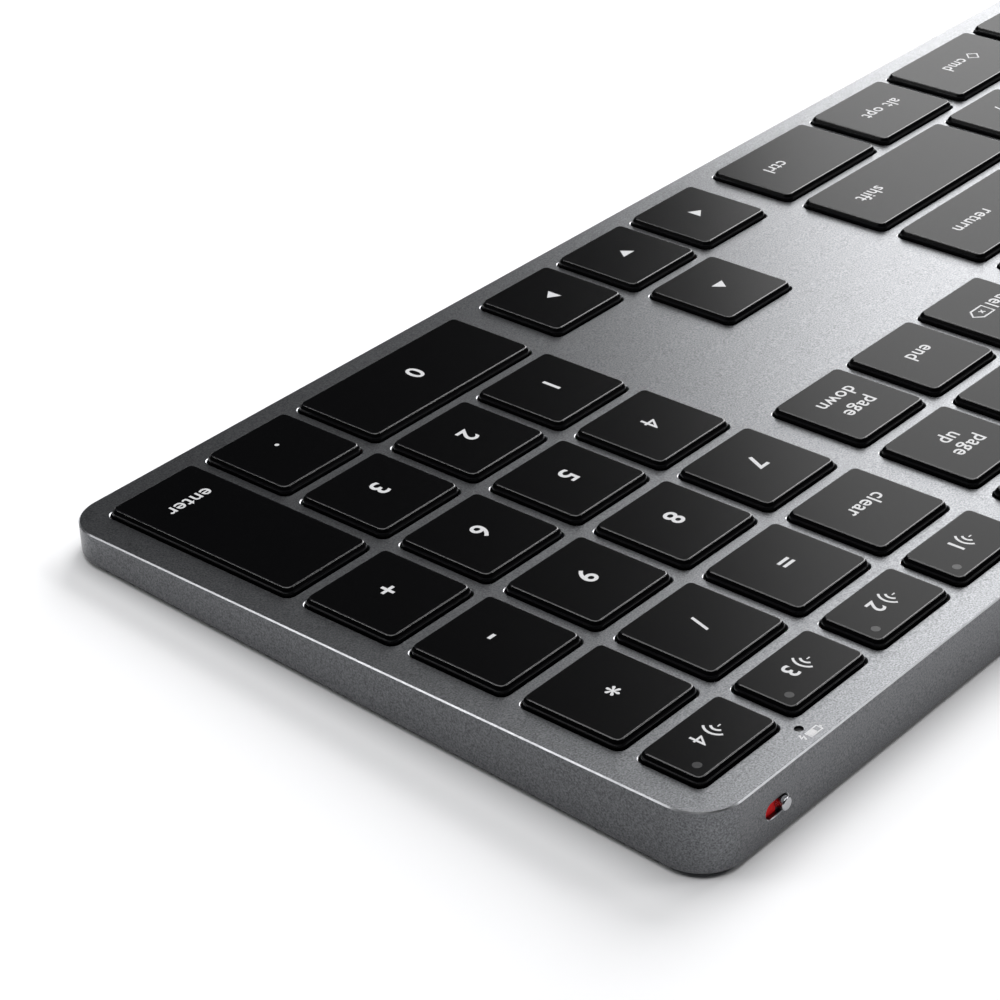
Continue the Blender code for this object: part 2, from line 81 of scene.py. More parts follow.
def new_material(name, colour, roughness, metallic=0.0, specular=0.5):
    material = bpy.data.materials.new(name)
    material.use_nodes = True
    shader = shader_of(material)
    shader.inputs["Base Color"].default_value = (*colour, 1)
    shader.inputs["Roughness"].default_value = roughness
    shader.inputs["Metallic"].default_value = metallic
    shader.inputs["Specular IOR Level"].default_value = specular
    return material


floor_low = cad_box[0][2]
bpy.ops.mesh.primitive_plane_add(size=TABLE_SIZE, location=(0, 0, floor_low))
floor = bpy.context.object
floor.name = "floor"
floor.data.materials.append(new_material("white_table", (0.93, 0.93, 0.94), 0.9, specular=0.1))


def soft_light(name, width, height, distance, heading, rise, watts, roll=0.0):
    """A rectangular light that faces LIGHT_AIM. Its heading, from +Y towards +X, and rise are in degrees."""
    heading, rise = math.radians(heading), math.radians(rise)
    level = math.cos(rise)
    way = Vector((math.sin(heading) * level, math.cos(heading) * level, math.sin(rise)))
    bpy.ops.object.light_add(type="AREA", location=LIGHT_AIM + distance * way)
    lamp = bpy.context.object
    lamp.name = name
    facing = way.to_track_quat("Z", "Y").to_matrix()
    lamp.rotation_euler = (facing @ Matrix.Rotation(math.radians(roll), 3, "Z")).to_euler()
    lamp.data.shape = "RECTANGLE"
    lamp.data.size = width
    lamp.data.size_y = height
    lamp.data.energy = watts


soft_light("end_light", 1.44, 1.54, distance=2.0, heading=-104.3, rise=28.5, watts=42.9, roll=16)
soft_light("top_light", 2.6, 2.6, distance=2.4, heading=180, rise=82, watts=48)
soft_light("keypad_side_strip", 0.6, 0.25, distance=2.0, heading=138, rise=37, watts=4)
soft_light("typing_side_strip", 0.6, 0.25, distance=2.0, heading=-50, rise=37, watts=4.5)

world = bpy.context.scene.world or bpy.data.worlds.new("World")
bpy.context.scene.world = world
world.use_nodes = True
sky = world.node_tree.nodes["Background"]
sky.inputs["Color"].default_value = (0.75, 0.78, 0.82, 1)
sky.inputs["Strength"].default_value = 0.055

bpy.ops.object.camera_add(location=CAMERA_PLACE)
camera = bpy.context.object
camera.rotation_euler = [math.radians(turn) for turn in CAMERA_TURN]
camera.data.lens = CAMERA_LENS
camera.data.sensor_width = SENSOR_WIDTH
camera.data.clip_start = 0.01
bpy.context.scene.camera = camera
bpy.context.scene.view_settings.view_transform = "Standard"


# ---- Top case ----
# One shell milled from aluminium: a sloping deck with a window for each key, and a wall all round. It is
# blasted with fine beads and anodised dark grey, and its edges are then cut bright with a diamond tool.

TINY = 0.01 * MM  # what lies closer than this counts as level
SMOOTH_BELOW = math.radians(30)
NOISE_LOW, NOISE_HIGH = 0.3, 0.7  # most of a texture's values lie between these
PITCH = 19.05 * MM
TYPING_UNITS = 14.5  # the blocks' widths in pitches
EDITING_UNITS = 3
KEYPAD_UNITS = 4
FUNCTION_DEPTH = 12.65 * MM
FUNCTION_ROW = 5  # the front row is 0
BLOCK_GAP = 3.55 * MM
SKIRT_GAP = 2.65 * MM  # between the skirts of neighbouring caps
WINDOW_GAP = 2.05 * MM  # between two windows
WINDOW_CORNER = 1.45 * MM
WINDOW_BREAK = 0.09 * MM  # the bright edge of each window
FLARE_ABOVE = 0.5 * MM  # how far the cutters' flares go on above the metal
CASE_CORNER = 6.5 * MM
CASE_WALL = 1.6 * MM
INNER_CORNER = CASE_CORNER - CASE_WALL
DECK_THICKNESS = 1.0 * MM
EDGE_BREAK = 0.18 * MM
RIM_ROUND = 0.15 * MM
LEDGE = (1.5 * MM, 2.3 * MM, 1.4 * MM)  # its underside and top above the rim, and its reach

case_low, case_high = (Vector(corner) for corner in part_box("top_case"))
press = Vector(next(joint["axis"] for joint in frame["joints"] if joint["name"] == "space_key_press"))
SLOPE = math.atan2(press.y, -press.z)
CASE_WIDTH = case_high.x - case_low.x
BACK_HEIGHT = (case_high.z - case_low.z) / math.cos(SLOPE)
CASE_DEPTH = (case_high.y - case_low.y - BACK_HEIGHT * math.sin(SLOPE)) / math.cos(SLOPE)
FRONT_HEIGHT = BACK_HEIGHT - CASE_DEPTH * math.tan(SLOPE)
# The deck's own frame: its origin is the middle of the deck's front edge, and its z is the deck's normal.
deck_front = Vector((0, case_low.y, case_high.z - CASE_DEPTH * math.sin(SLOPE)))
DECK = Matrix.Translation(deck_front) @ Matrix.Rotation(SLOPE, 4, "X")


def only(piece):
    """Makes this the one selected object."""
    bpy.ops.object.select_all(action="DESELECT")
    piece.select_set(True)
    bpy.context.view_layer.objects.active = piece


def pick(piece, kind, test):
    """Opens edit mode with the faces or edges that pass the test, which is given a face or an edge's ends."""
    only(piece)
    bpy.ops.object.mode_set(mode="EDIT")
    bpy.ops.mesh.select_mode(type=kind)
    bpy.ops.mesh.select_all(action="DESELECT")
    bpy.ops.object.mode_set(mode="OBJECT")
    mesh = piece.data
    if kind == "FACE":
        for face in mesh.polygons:
            face.select = test(face)
    else:
        for edge in mesh.edges:
            ends = [mesh.vertices[v].co for v in edge.vertices]
            edge.select = test(*ends)
    bpy.ops.object.mode_set(mode="EDIT")


def done(piece, name, place=None):
    """Leaves edit mode, shades the piece smooth across soft edges and puts its place in its mesh."""
    if bpy.context.mode == "EDIT_MESH":
        bpy.ops.object.mode_set(mode="OBJECT")
    only(piece)
    bpy.ops.object.transform_apply(location=True, rotation=True, scale=True)
    bpy.ops.object.shade_smooth_by_angle(angle=SMOOTH_BELOW)
    weigh = piece.modifiers.new("flat_faces", "WEIGHTED_NORMAL")
    weigh.keep_sharp = True
    bpy.ops.object.modifier_apply(modifier=weigh.name)
    if place is not None:
        piece.data.transform(place)
    piece.name = name
    piece.data.name = name
    return piece


def copy_of(pattern, place):
    """A copy with its own mesh, moved by a matrix."""
    copy = pattern.copy()
    copy.data = pattern.data.copy()
    copy.data.transform(place)
    bpy.context.scene.collection.objects.link(copy)
    return copy


def discard(patterns):
    for pattern in patterns:
        bpy.data.objects.remove(pattern)


def rounded_block(width, depth, low, high, radius, steps, x=0.0, y=0.0):
    """A block with its four upright edges rounded, in the deck's frame."""
    middle = (x, y, (low + high) / 2)
    bpy.ops.mesh.primitive_cube_add(size=1, location=middle, scale=(width, depth, high - low))
    block = bpy.context.object
    bpy.ops.object.transform_apply(location=True, rotation=True, scale=True)
    pick(block, "EDGE", lambda a, b: abs(a.z - b.z) > 0.9 * (high - low))
    bpy.ops.mesh.bevel(offset=radius, segments=steps, affect="EDGES")
    bpy.ops.object.mode_set(mode="OBJECT")
    return block


def join(pieces):
    only(pieces[0])
    for piece in pieces:
        piece.select_set(True)
    bpy.ops.object.join()
    return pieces[0]


def cut(piece, cutter):
    """Takes the cutter's shape away from the piece and deletes the cutter."""
    only(piece)
    modifier = piece.modifiers.new("cut", "BOOLEAN")
    modifier.object = cutter
    modifier.operation = "DIFFERENCE"
    modifier.solver = "EXACT"
    bpy.ops.object.modifier_apply(modifier=modifier.name)
    bpy.data.objects.remove(cutter)


def noise_on(material, grain, detail=2.0, stretch=(1, 1, 1)):
    """A noise texture whose grains are about that size in metres, on Object coordinates."""
    nodes, links = material.node_tree.nodes, material.node_tree.links
    place = nodes.new("ShaderNodeTexCoord")
    mapping = nodes.new("ShaderNodeMapping")
    mapping.inputs["Scale"].default_value = stretch
    noise = nodes.new("ShaderNodeTexNoise")
    noise.inputs["Scale"].default_value = 1.0 / grain
    noise.inputs["Detail"].default_value = detail
    links.new(place.outputs["Object"], mapping.inputs["Vector"])
    links.new(mapping.outputs["Vector"], noise.inputs["Vector"])
    return noise.outputs["Fac"]


def spread(material, source, low, high, quality):
    """Maps a texture's middle range to low..high of one of the shader's inputs, which may be a colour."""
    nodes, links = material.node_tree.nodes, material.node_tree.links
    socket = shader_of(material).inputs[quality]
    if isinstance(low, tuple):
        ramp = nodes.new("ShaderNodeValToRGB")
        ramp.color_ramp.elements[0].position = NOISE_LOW
        ramp.color_ramp.elements[0].color = (*low, 1)
        ramp.color_ramp.elements[1].position = NOISE_HIGH
        ramp.color_ramp.elements[1].color = (*high, 1)
        links.new(source, ramp.inputs["Fac"])
        links.new(ramp.outputs["Color"], socket)
        return
    scale = nodes.new("ShaderNodeMapRange")
    scale.inputs["From Min"].default_value = NOISE_LOW
    scale.inputs["From Max"].default_value = NOISE_HIGH
    scale.inputs["To Min"].default_value = low
    scale.inputs["To Max"].default_value = high
    links.new(source, scale.inputs["Value"])
    links.new(scale.outputs["Result"], socket)


def bump_from(material, source, height):
    """A bump of that height in metres."""
    nodes, links = material.node_tree.nodes, material.node_tree.links
    bump = nodes.new("ShaderNodeBump")
    bump.inputs["Strength"].default_value = 1.0
    bump.inputs["Distance"].default_value = height
    links.new(source, bump.inputs["Height"])
    links.new(bump.outputs["Normal"], shader_of(material).inputs["Normal"])


blasted = new_material("blasted_space_grey_aluminium", (0.13, 0.134, 0.142), 0.33, 1.0)
blast_pits = noise_on(blasted, 0.24 * MM, 3.0)
spread(blasted, blast_pits, (0.074, 0.076, 0.08), (0.19, 0.194, 0.202), "Base Color")
spread(blasted, noise_on(blasted, 0.5 * MM), 0.3, 0.34, "Roughness")
bump_from(blasted, blast_pits, 0.01 * MM)

bright_cut = new_material("diamond_cut_aluminium", (0.44, 0.445, 0.46), 0.32, 1.0)
spread(bright_cut, noise_on(bright_cut, 0.4 * MM), 0.28, 0.36, "Roughness")


def row(spec):
    """Keys of a row from 'legend::width legend::width', where the width in pitches is 1 if it isn't given."""
    members = []
    for word in spec.split():
        legend, _, units = word.partition("::")
        members.append((legend, float(units or 1)))
    return members


FUNCTION_LEGENDS = "esc F1 F2 F3 F4 F5 F6 F7 F8 F9 F10 F11 F12 <eject>".split()
# The typing block, front row first. A legend's lines are parted by |, <...> names a drawn sign, _ is blank.
TYPING_ROWS = [
    row("ctrl::1.5 alt&space;opt::1.25 <diamond>cmd::1.5 _::6 "
        "<diamond>cmd::1.5 alt&space;opt::1.25 ctrl::1.5"),
    row("shift::2.25 Z X C V B N M &lt;|, &gt;|. ?|/ shift::2.25"),
    row("caps&space;lock::1.75 A S D F G H J K L :|; \"|' return::1.75"),
    row("tab::1.5 Q W E R T Y U I O P {|[ }|] &bar;|\\"),
    row("~|` !|1 @|2 #|3 $|4 %|5 ^|6 &|7 *|8 (|9 )|0 _|- +|= delete::1.5"),
    [(legend, TYPING_UNITS / len(FUNCTION_LEGENDS)) for legend in FUNCTION_LEGENDS],
]
TYPING_NODES = {
    (0, 3): "space_key",
    (0, 4): "command_right_key",
    (0, 5): "option_right_key",
    (0, 6): "control_right_key",
    (1, 11): "shift_right_key",
    (2, 12): "return_key",
}
ROW_NODES = ["bottom_row_keys", "shift_row_keys", "caps_row_keys", "tab_row_keys", "number_row_keys"]
ROW_NODES += ["function_row_keys"]
# The editing and arrow keys: legend, node, column, row
EDITING = [
    ("<left>", "arrow_left_key", 0, 0),
    ("<down>", "arrow_down_key", 1, 0),
    ("<right>", "arrow_right_key", 2, 0),
    ("<up>", "arrow_up_key", 1, 1),
    ("del<erase>", "forward_delete_key", 0, 3),
    ("end", "end_key", 1, 3),
    ("page|down", "page_down_key", 2, 3),
    ("fn", "function_key", 0, 4),
    ("home", "home_key", 1, 4),
    ("page|up", "page_up_key", 2, 4),
    ("F13", "function_row_keys", 0, 5),
    ("F14", "function_row_keys", 1, 5),
    ("F15", "function_row_keys", 2, 5),
]
# The numeric keypad: legend, node, column, row, and columns wide and rows deep if they aren't 1
KEYPAD = [
    ("0", "numpad_0_key", 0, 0, 2, 1),
    (".", "numpad_point_key", 2, 0),
    ("enter", "numpad_enter_key", 3, 0, 1, 2),
    ("1", "numpad_1_key", 0, 1),
    ("2", "numpad_2_key", 1, 1),
    ("3", "numpad_3_key", 2, 1),
    ("4", "numpad_4_key", 0, 2),
    ("5", "numpad_5_key", 1, 2),
    ("6", "numpad_6_key", 2, 2),
    ("+", "numpad_plus_key", 3, 2),
    ("7", "numpad_7_key", 0, 3),
    ("8", "numpad_8_key", 1, 3),
    ("9", "numpad_9_key", 2, 3),
    ("-", "numpad_minus_key", 3, 3),
    ("clear", "numpad_clear_key", 0, 4),
    ("=", "numpad_equals_key", 1, 4),
    ("/", "numpad_divide_key", 2, 4),
    ("*", "numpad_multiply_key", 3, 4),
    ("<waves>1", "channel_1_key", 0, 5),
    ("<waves>2", "channel_2_key", 1, 5),
    ("<waves>3", "channel_3_key", 2, 5),
    ("<waves>4", "channel_4_key", 3, 5),
]

grid_width = (TYPING_UNITS + EDITING_UNITS + KEYPAD_UNITS) * PITCH + 2 * BLOCK_GAP
grid_left = -grid_width / 2
space_low = Vector(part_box("space_key")[0])
grid_front = (DECK.inverted() @ space_low).y - SKIRT_GAP / 2
editing_left = grid_left + TYPING_UNITS * PITCH + BLOCK_GAP
keypad_left = editing_left + EDITING_UNITS * PITCH + BLOCK_GAP

keys = []  # (legend, node, middle x, middle y, width, depth) of each key's cell in the deck's frame


def add_key(legend, node, left, across, deep_row, units=1.0, rows=1):
    depth = FUNCTION_DEPTH if deep_row == FUNCTION_ROW else rows * PITCH
    width = units * PITCH
    x = left + across * PITCH + width / 2
    y = grid_front + deep_row * PITCH + depth / 2
    keys.append((legend, node, x, y, width, depth))


for level, members in enumerate(TYPING_ROWS):
    across = 0.0
    for place, (legend, units) in enumerate(members):
        add_key(legend, TYPING_NODES.get((level, place), ROW_NODES[level]), grid_left, across, level, units)
        across += units
for legend, node, column, level in EDITING:
    add_key(legend, node, editing_left, column, level)
for legend, node, column, level, *size in KEYPAD:
    add_key(legend, node, keypad_left, column, level, *size)

level_down = Vector((0, -math.sin(SLOPE), -math.cos(SLOPE)))  # straight down, in the deck's frame


def rim_point(above):
    """A point of the level plane that lies this far above the case's rim."""
    return Vector((0, 0, -FRONT_HEIGHT)) - above * level_down


def on_rim(point):
    return abs((point - rim_point(0)).dot(level_down)) < TINY


def split_between_keys(piece):
    """Splits a piece's faces between the rows and every two pitches, so that no face holds many windows."""
    lines = [((0, grid_front + level * PITCH, 0), (0, 1, 0)) for level in range(1, FUNCTION_ROW + 1)]
    lines += [((grid_left + 2 * column * PITCH, 0, 0), (1, 0, 0)) for column in range(1, 11)]
    for place, normal in lines:
        pick(piece, "FACE", lambda face: True)
        bpy.ops.mesh.bisect(plane_co=place, plane_no=normal)
        bpy.ops.object.mode_set(mode="OBJECT")


middle_y = CASE_DEPTH / 2
case = rounded_block(CASE_WIDTH, CASE_DEPTH, -2 * BACK_HEIGHT, 0.0, CASE_CORNER, 16, 0.0, middle_y)
case.data.materials.append(blasted)
case.data.materials.append(bright_cut)
pick(case, "FACE", lambda face: True)
bpy.ops.mesh.bisect(plane_co=rim_point(0), plane_no=level_down, use_fill=True, clear_outer=True)
bpy.ops.object.mode_set(mode="OBJECT")
pick(case, "EDGE", lambda a, b: abs(a.z) < TINY and abs(b.z) < TINY)
bpy.ops.mesh.bevel(offset=EDGE_BREAK, segments=1, affect="EDGES", material=1)
bpy.ops.object.mode_set(mode="OBJECT")
pick(case, "EDGE", lambda a, b: on_rim(a) and on_rim(b))
bpy.ops.mesh.bevel(offset=RIM_ROUND, segments=2, affect="EDGES")
bpy.ops.object.mode_set(mode="OBJECT")
split_between_keys(case)

inner_width = CASE_WIDTH - 2 * CASE_WALL
inner_depth = CASE_DEPTH - 2 * CASE_WALL
hollow = rounded_block(
    inner_width, inner_depth, -3 * BACK_HEIGHT, -DECK_THICKNESS, INNER_CORNER, 12, 0.0, middle_y
)
for above in LEDGE[:2]:
    pick(hollow, "FACE", lambda face: True)
    bpy.ops.mesh.bisect(plane_co=rim_point(above), plane_no=level_down)
    bpy.ops.object.mode_set(mode="OBJECT")


def in_ledge(face):
    height = -(face.center - rim_point(0)).dot(level_down)
    return LEDGE[0] < height < LEDGE[1] and abs(face.normal.z) < 0.5


pick(hollow, "FACE", in_ledge)
bpy.ops.mesh.extrude_region_shrink_fatten(TRANSFORM_OT_shrink_fatten={"value": -LEDGE[2]})
bpy.ops.object.mode_set(mode="OBJECT")
split_between_keys(hollow)
cut(case, hollow)


def flared_bar(width, depth, low, edge, corner, steps):
    """A bar that flares at 45 degrees above z = -edge, so that its cut leaves a bright slope up to z = 0."""
    bar = rounded_block(width, depth, low, -edge, corner, steps)
    bar.data.materials.append(blasted)
    bar.data.materials.append(bright_cut)
    rise = edge + FLARE_ABOVE
    pick(bar, "FACE", lambda face: face.normal.z > 0.9)
    bpy.ops.mesh.extrude_region_move(TRANSFORM_OT_translate={"value": (0, 0, rise)})
    grown = ((width + 2 * rise) / width, (depth + 2 * rise) / depth, 1)
    bpy.ops.transform.resize(value=grown, center_override=(0, 0, 0))
    bpy.ops.object.mode_set(mode="OBJECT")
    for face in bar.data.polygons:
        if face.center.z > -edge:
            face.material_index = 1
    return bar


def patterns_for(make):
    """A pattern for each size of key cell, made by a function of the cell's width and depth."""
    sizes = {(round(key[4], 6), round(key[5], 6)) for key in keys}
    return {size: make(*size) for size in sorted(sizes)}


def make_window_cutter(width, depth):
    wide, deep = width - WINDOW_GAP, depth - WINDOW_GAP
    return flared_bar(wide, deep, -2 * DECK_THICKNESS, WINDOW_BREAK, WINDOW_CORNER, 6)


bars = patterns_for(make_window_cutter)
windows = []
for legend, node, x, y, width, depth in keys:
    windows.append(copy_of(bars[round(width, 6), round(depth, 6)], Matrix.Translation((x, y, 0))))
discard(bars.values())
cut(case, join(windows))

LIGHT_FROM_BACK = 3.4 * MM
LIGHT_HOLE = 0.65 * MM  # its radius
light_low, light_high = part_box("charge_light")
LIGHT_SPOT = ((light_low[0] + light_high[0]) / 2, CASE_DEPTH - LIGHT_FROM_BACK)
drill_length = 6 * DECK_THICKNESS
bpy.ops.mesh.primitive_cylinder_add(
    vertices=32, radius=LIGHT_HOLE, depth=drill_length, location=(*LIGHT_SPOT, 0)
)
cut(case, bpy.context.object)


SWITCH_SLOT = (4.7 * MM, 2.4 * MM)
SWITCH_POCKET = (11.8 * MM, 3.6 * MM)  # milled into the wall from inside, behind the slot
POCKET_CORNER = 0.8 * MM
THIN_WALL = 0.6 * MM  # what the pocket leaves of it
SOCKET_MOUTH = (9.5 * MM, 3.8 * MM)
SLOT_BREAK = 0.12 * MM
SWITCH_FROM_END = 13.8 * MM
SWITCH_X = CASE_WIDTH / 2 - SWITCH_FROM_END
SWITCH_DROP = 5.2 * MM
SOCKET_DROP = 5.25 * MM
OUT_BACK = Matrix.Rotation(-math.pi / 2, 4, "X")  # turns +Z to +Y, out of the back wall


def wall_cutter(width, height, x, drop):
    """A round-ended bar through the back wall, flared outside."""
    bar = flared_bar(width, height, -3 * CASE_WALL, SLOT_BREAK, height / 2 - TINY, 10)
    bar.data.transform(Matrix.Translation((x, CASE_DEPTH, -drop)) @ OUT_BACK)
    return bar


cut(case, wall_cutter(*SWITCH_SLOT, SWITCH_X, SWITCH_DROP))
cut(case, wall_cutter(*SOCKET_MOUTH, 0.0, SOCKET_DROP))
pocket_half = SWITCH_POCKET[1] / 2
pocket = rounded_block(SWITCH_POCKET[0], 2 * CASE_WALL, -pocket_half, pocket_half, POCKET_CORNER, 4)
pocket.data.transform(Matrix.Translation((SWITCH_X, CASE_DEPTH - THIN_WALL - CASE_WALL, -SWITCH_DROP)))
cut(case, pocket)
done(case, "milled_case", DECK)
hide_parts("top_case")
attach(case, "case")


# ---- Bottom cover ----
# A flat plate of dark moulded plastic that closes the case from below. It is glued to the ledge inside the
# walls with a ring of black tape, and has a shallow recess for each foot.

COVER_BREAK = 0.3 * MM
FOOT_RECESS = 0.15 * MM
FOOT_CORNER = 3.4 * MM
FOOT_GAP = 0.25 * MM  # round each foot in its recess
OUTSIDE = 0.2  # the cover's own edges reach beyond this x, its recesses don't
FOOT_NODES = ["front_left_foot", "front_right_foot", "back_left_foot", "back_right_foot"]

moulded = new_material("fine_textured_dark_plastic", (0.03, 0.03, 0.033), 0.6)
moulded_grain = noise_on(moulded, 0.35 * MM, 4.0)
spread(moulded, moulded_grain, (0.022, 0.022, 0.024), (0.038, 0.038, 0.041), "Base Color")
spread(moulded, noise_on(moulded, 8 * MM), 0.52, 0.66, "Roughness")
bump_from(moulded, moulded_grain, 0.02 * MM)


def boxed(node, radius, steps, grow=0.0):
    """A round-cornered block with the sizes and place of an upright CAD node, wider by grow on each side."""
    low, high = (Vector(corner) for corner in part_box(node))
    size = high - low
    middle = (low + high) / 2
    radius = min(radius, size.y / 2 - 0.1 * MM) + grow  # a narrow block gets nearly round ends
    wide, deep = size.x + 2 * grow, size.y + 2 * grow
    return rounded_block(wide, deep, low.z, high.z, radius, steps, middle.x, middle.y)


def dress(node, material):
    """Gives a CAD node this material."""
    for slot in frame["nodes"][node].material_slots:
        slot.material = material


cover = boxed("bottom_cover", INNER_CORNER, 12)
cover_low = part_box("bottom_cover")[0][2]
cover.data.materials.append(moulded)
for foot in FOOT_NODES:
    recess = boxed(foot, FOOT_CORNER, 10, FOOT_GAP)
    recess.data.transform(Matrix.Translation((0, 0, FOOT_RECESS + cover_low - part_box(foot)[1][2])))
    cut(cover, recess)
pick(cover, "EDGE", lambda a, b: max(a.z, b.z) < cover_low + TINY and max(abs(a.x), abs(b.x)) > OUTSIDE)
bpy.ops.mesh.bevel(offset=COVER_BREAK, segments=2, affect="EDGES")
done(cover, "moulded_bottom_plate")
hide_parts("bottom_cover")
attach(cover, "case")

tape = new_material("black_tissue_tape", (0.02, 0.02, 0.02), 0.8)
tape_fibres = noise_on(tape, 0.6 * MM, 5.0, (1, 6, 1))
spread(tape, tape_fibres, (0.012, 0.012, 0.012), (0.035, 0.035, 0.035), "Base Color")
bump_from(tape, tape_fibres, 0.01 * MM)
dress("cover_adhesive", tape)


# ---- Feet ----
# Four soft rubber pads with rounded lower edges, each stuck in its recess in the bottom cover.

FOOT_ROUND = 0.3 * MM

rubber = new_material("soft_grey_rubber", (0.06, 0.06, 0.06), 0.85)
rubber_grain = noise_on(rubber, 0.3 * MM, 5.0)
spread(rubber, rubber_grain, (0.045, 0.045, 0.046), (0.085, 0.085, 0.086), "Base Color")
spread(rubber, noise_on(rubber, 4 * MM), 0.75, 0.92, "Roughness")
bump_from(rubber, rubber_grain, 0.03 * MM)

for node in FOOT_NODES:
    pad = boxed(node, FOOT_CORNER, 10)
    pad.data.materials.append(rubber)
    pad_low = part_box(node)[0][2]
    pick(pad, "EDGE", lambda a, b: max(a.z, b.z) < pad_low + TINY)
    bpy.ops.mesh.bevel(offset=FOOT_ROUND, segments=4, affect="EDGES")
    done(pad, node.replace("_foot", "_rubber_pad"))
    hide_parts(node)
    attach(pad, "case")


# ---- Sheets under the keys ----
# A rolled steel plate, the clear film whose printed silver tracks close under a pressed key, and a silicone
# sheet with a round dome under each cap that springs the key back. They are stacked and staked to the deck.

SHEET_FACE = -2.6 * MM
SHEET_THICKNESS = 0.2 * MM
SHEET_CORNER = 2.0 * MM
DOME_FOOT = 2.6 * MM  # this and the head are radii
DOME_HEAD = 1.5 * MM
DOME_ROUND = 0.35 * MM
DOME_TOP = -1.2 * MM
TRACK_SPACING = 2.4 * MM


def bands_on(material, spacing, direction, wander):
    """A wave texture of parallel bands, whose wander is in bands."""
    nodes, links = material.node_tree.nodes, material.node_tree.links
    place = nodes.new("ShaderNodeTexCoord")
    wave = nodes.new("ShaderNodeTexWave")
    wave.bands_direction = direction
    wave.inputs["Scale"].default_value = math.pi / (10 * spacing)
    wave.inputs["Distortion"].default_value = wander
    wave.inputs["Detail"].default_value = 1.0
    links.new(place.outputs["Object"], wave.inputs["Vector"])
    return wave.outputs["Fac"]


rolled = new_material("rolled_zinc_steel", (0.5, 0.51, 0.53), 0.35, 1.0)
rolled_lines = noise_on(rolled, 0.3 * MM, 3.0, (0.05, 1, 1))
spread(rolled, rolled_lines, (0.42, 0.43, 0.45), (0.58, 0.59, 0.61), "Base Color")
spread(rolled, rolled_lines, 0.28, 0.42, "Roughness")
dress("support_plate", rolled)

film = new_material("printed_switch_film", (0.7, 0.72, 0.7), 0.3)
film_tracks = bands_on(film, TRACK_SPACING, "X", 2.0)
spread(film, film_tracks, (0.62, 0.64, 0.6), (0.4, 0.4, 0.42), "Base Color")
spread(film, noise_on(film, 1.2 * MM), 0.22, 0.36, "Roughness")
dress("switch_membrane", film)

silicone = new_material("dome_silicone", (0.7, 0.7, 0.67), 0.55)
shader_of(silicone).inputs["Subsurface Weight"].default_value = 0.15
shader_of(silicone).inputs["Subsurface Scale"].default_value = 0.5 * MM
silicone_cloud = noise_on(silicone, 2.5 * MM, 3.0)
spread(silicone, silicone_cloud, (0.64, 0.64, 0.6), (0.76, 0.76, 0.73), "Base Color")
bump_from(silicone, noise_on(silicone, 0.2 * MM), 0.004 * MM)

sheet_low, sheet_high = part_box("dome_sheet")
sheet_width = sheet_high[0] - sheet_low[0]
sheet_front = grid_front + WINDOW_GAP / 2
sheet_depth = FUNCTION_ROW * PITCH + FUNCTION_DEPTH - WINDOW_GAP
sheet_middle = sheet_front + sheet_depth / 2
dome_sheet = rounded_block(
    sheet_width, sheet_depth, SHEET_FACE - SHEET_THICKNESS, SHEET_FACE, SHEET_CORNER, 4, 0.0, sheet_middle
)
dome_height = DOME_TOP - SHEET_FACE
dome_middle = (DOME_TOP + SHEET_FACE) / 2
bpy.ops.mesh.primitive_cone_add(
    vertices=20, radius1=DOME_FOOT, radius2=DOME_HEAD, depth=dome_height, location=(0, 0, dome_middle)
)
dome = bpy.context.object
bpy.ops.object.transform_apply(location=True)
pick(dome, "EDGE", lambda a, b: min(a.z, b.z) > DOME_TOP - TINY)
bpy.ops.mesh.bevel(offset=DOME_ROUND, segments=3, affect="EDGES")
bpy.ops.object.mode_set(mode="OBJECT")
domes = [copy_of(dome, Matrix.Translation((x, y, 0))) for legend, node, x, y, width, depth in keys]
discard([dome])
domed = join([dome_sheet, *domes])
domed.data.materials.clear()
domed.data.materials.append(silicone)
done(domed, "silicone_domes", DECK)
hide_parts("dome_sheet")
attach(domed, "case")


# ---- Circuit board, switch and battery ----
# A narrow green board along the back wall carries the socket, the slide switch and the light. A flat lithium
# cell in silver foil lies in front of it, and all are stuck to the inside of the case with double-sided tape.

TRACE_CELL = (4.0, 1.1)  # the board's copper pattern: cell width and height in mm

board = new_material("green_solder_mask", (0.02, 0.12, 0.06), 0.4)
board_nodes, board_links = board.node_tree.nodes, board.node_tree.links
board_place = board_nodes.new("ShaderNodeTexCoord")
traces = board_nodes.new("ShaderNodeTexBrick")
traces.inputs["Scale"].default_value = 1.0 / MM
traces.inputs["Brick Width"].default_value = TRACE_CELL[0]
traces.inputs["Row Height"].default_value = TRACE_CELL[1]
traces.inputs["Mortar Size"].default_value = 0.1
traces.inputs["Color1"].default_value = (0.015, 0.09, 0.045, 1)
traces.inputs["Color2"].default_value = (0.022, 0.13, 0.06, 1)
traces.inputs["Mortar"].default_value = (0.05, 0.24, 0.1, 1)
board_links.new(board_place.outputs["Object"], traces.inputs["Vector"])
board_links.new(traces.outputs["Color"], shader_of(board).inputs["Base Color"])
bump_from(board, traces.outputs["Fac"], 0.03 * MM)
dress("main_board", board)
dress("power_switch_body", moulded)

foil = new_material("battery_foil", (0.55, 0.55, 0.57), 0.35, 1.0)
foil_creases = noise_on(foil, 5 * MM, 5.0, (1, 2.5, 1))
spread(foil, foil_creases, (0.45, 0.45, 0.47), (0.62, 0.62, 0.64), "Base Color")
spread(foil, foil_creases, 0.28, 0.42, "Roughness")
bump_from(foil, foil_creases, 0.15 * MM)
dress("battery", foil)


# ---- Charging socket ----
# A reversible receptacle in the middle of the back wall: a drawn steel sleeve with a rounded lip, and inside
# it a black plastic tongue with gold-plated contacts on both faces.

